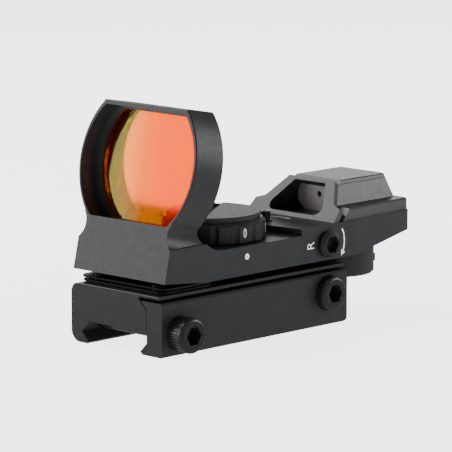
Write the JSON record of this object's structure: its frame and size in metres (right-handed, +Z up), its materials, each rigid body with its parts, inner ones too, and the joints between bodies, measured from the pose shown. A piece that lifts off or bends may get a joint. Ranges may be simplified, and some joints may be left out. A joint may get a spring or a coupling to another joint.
{
  "type": "red dot finder",
  "caption": "Open reflex red dot finder: leaning hood with a tinted objective, round brightness dial with a battery cap, rear emitter block, and a side clamp for a dovetail rail.",
  "frame": {"origin": "centre of the flat face that rests on the rail, half way along the base", "axes": "+X along the line of sight towards the viewer's eye and the emitter, -X towards the target, -Y the side with the clamp bar and the windage screw, +Z up"},
  "size_m": [0.0859, 0.039, 0.0551],
  "materials": {
    "black_anodised": "satin black anodising",
    "housing_black": "matte bead-blasted black anodising",
    "cover_black": "matte bead-blasted black anodising",
    "frame_black": "matte black anodising",
    "cap_satin": "satin dark grey anodising",
    "blackened_steel": "black oxide",
    "blackened_plate": "black oxide, thin sheet",
    "bright_steel": "ground",
    "battery_steel": "nickel plated",
    "brass": "satin",
    "coated_glass": "mirror coated, orange and teal by angle",
    "black_sealant": "smooth",
    "black_rubber": "matte",
    "black_plastic": "moulded",
    "grey_plastic": "moulded",
    "green_board": "solder mask",
    "clear_red": "clear moulded",
    "mask_film": "printed film",
    "white_paint": "matte white marks"
  },
  "bodies": {
    "base": {"rail_base": "black_anodised", "adjuster_post": "bright_steel"},
    "clamp_bar": {"clamp_bar": "black_anodised"},
    "clamp_screw_front": {"clamp_screw_front": "blackened_steel"},
    "clamp_screw_rear": {"clamp_screw_rear": "blackened_steel"},
    "swivel": {"swivel_plate": "blackened_plate", "pivot_pin": "bright_steel", "flexure_leaf": "blackened_plate", "leaf_rivets": "blackened_steel", "elevation_nut": "brass", "elevation_spring": "bright_steel"},
    "housing": {"main_housing": "housing_black", "objective_front_element": "coated_glass", "objective_rear_element": "coated_glass", "lens_seal": "black_sealant", "battery_cup": "black_plastic", "battery": "battery_steel", "battery_spring": "brass", "battery_side_contact": "brass", "switch_board": "green_board", "dial_detent_ball": "bright_steel", "dial_detent_spring": "bright_steel", "windage_spring": "bright_steel", "emitter_cover": "cover_black", "emitter_frame": "frame_black", "cover_screws": "blackened_steel", "emitter_baffle": "grey_plastic", "led_board": "green_board", "led_holder": "black_plastic", "led": "clear_red", "selector_detent_ball": "bright_steel", "selector_detent_spring": "bright_steel"},
    "windage_screw": {"windage_screw": "blackened_steel", "windage_clip": "bright_steel"},
    "elevation_screw": {"elevation_screw": "blackened_steel", "elevation_clip": "bright_steel"},
    "dial": {"dial_ring": "black_anodised", "dial_wiper": "brass"},
    "cap_seal": {"cap_gasket": "black_rubber"},
    "battery_cap": {"battery_cap": "cap_satin"},
    "selector": {"selector_knob": "black_anodised", "selector_screw": "blackened_steel", "reticle_drum": "black_anodised", "reticle_masks": "mask_film"}
  },
  "joints": [
    {"name": "clamp_slide", "type": "slide", "parent": "base", "child": "clamp_bar", "axis": [0, -1, 0], "range_m": [0, 0.00147]},
    {"name": "clamp_front_turn", "type": "hinge", "parent": "clamp_bar", "child": "clamp_screw_front", "pos_m": [-0.0251, -0.0178, -0.0002], "axis": [0, -1, 0], "range_deg": [0, 760]},
    {"name": "clamp_rear_turn", "type": "hinge", "parent": "clamp_bar", "child": "clamp_screw_rear", "pos_m": [0.0241, -0.0155, 0.0025], "axis": [0, -1, 0], "range_deg": [0, 770]},
    {"name": "yaw", "type": "hinge", "parent": "base", "child": "swivel", "pos_m": [-0.022, 0, 0.009], "axis": [0, 0, 1], "range_deg": [-0.68, 0.68]},
    {"name": "pitch", "type": "hinge", "parent": "swivel", "child": "housing", "pos_m": [-0.016, 0, 0.0101], "axis": [0, 1, 0], "range_deg": [-0.68, 0.68], "deforming": ["elevation_spring"]},
    {"name": "windage_turn", "type": "hinge", "parent": "housing", "child": "windage_screw", "pos_m": [0.0244, -0.0157, 0.014], "axis": [0, 1, 0], "range_deg": [-400, 400]},
    {"name": "elevation_turn", "type": "hinge", "parent": "housing", "child": "elevation_screw", "pos_m": [0.0188, 0, 0.0195], "axis": [0, 0, 1], "range_deg": [-300, 300]},
    {"name": "dial_turn", "type": "hinge", "parent": "housing", "child": "dial", "pos_m": [0.00036, 0, 0.0197], "axis": [0, 0, 1], "range_deg": [-247.5, 0]},
    {"name": "cap_turn", "type": "hinge", "parent": "housing", "child": "cap_seal", "pos_m": [0.00036, 0, 0.0226], "axis": [0, 0, 1], "range_deg": [0, 720]},
    {"name": "cap_lift", "type": "slide", "parent": "cap_seal", "child": "battery_cap", "axis": [0, 0, 1], "range_m": [0, 0.00151]},
    {"name": "selector_turn", "type": "hinge", "parent": "housing", "child": "selector", "pos_m": [0.0431, 0, 0.0047], "axis": [0, 0, 1], "range_deg": [0, 270]}
  ],
  "couplings": [
    {"joint": "clamp_front_turn", "follows": "clamp_slide", "rad_per_m": 8976},
    {"joint": "clamp_rear_turn", "follows": "clamp_slide", "rad_per_m": 8976},
    {"joint": "windage_turn", "follows": "yaw", "ratio": 583.08},
    {"joint": "elevation_turn", "follows": "pitch", "ratio": 437.31},
    {"joint": "cap_lift", "follows": "cap_turn", "m_per_rad": 0.00011937}
  ]
}
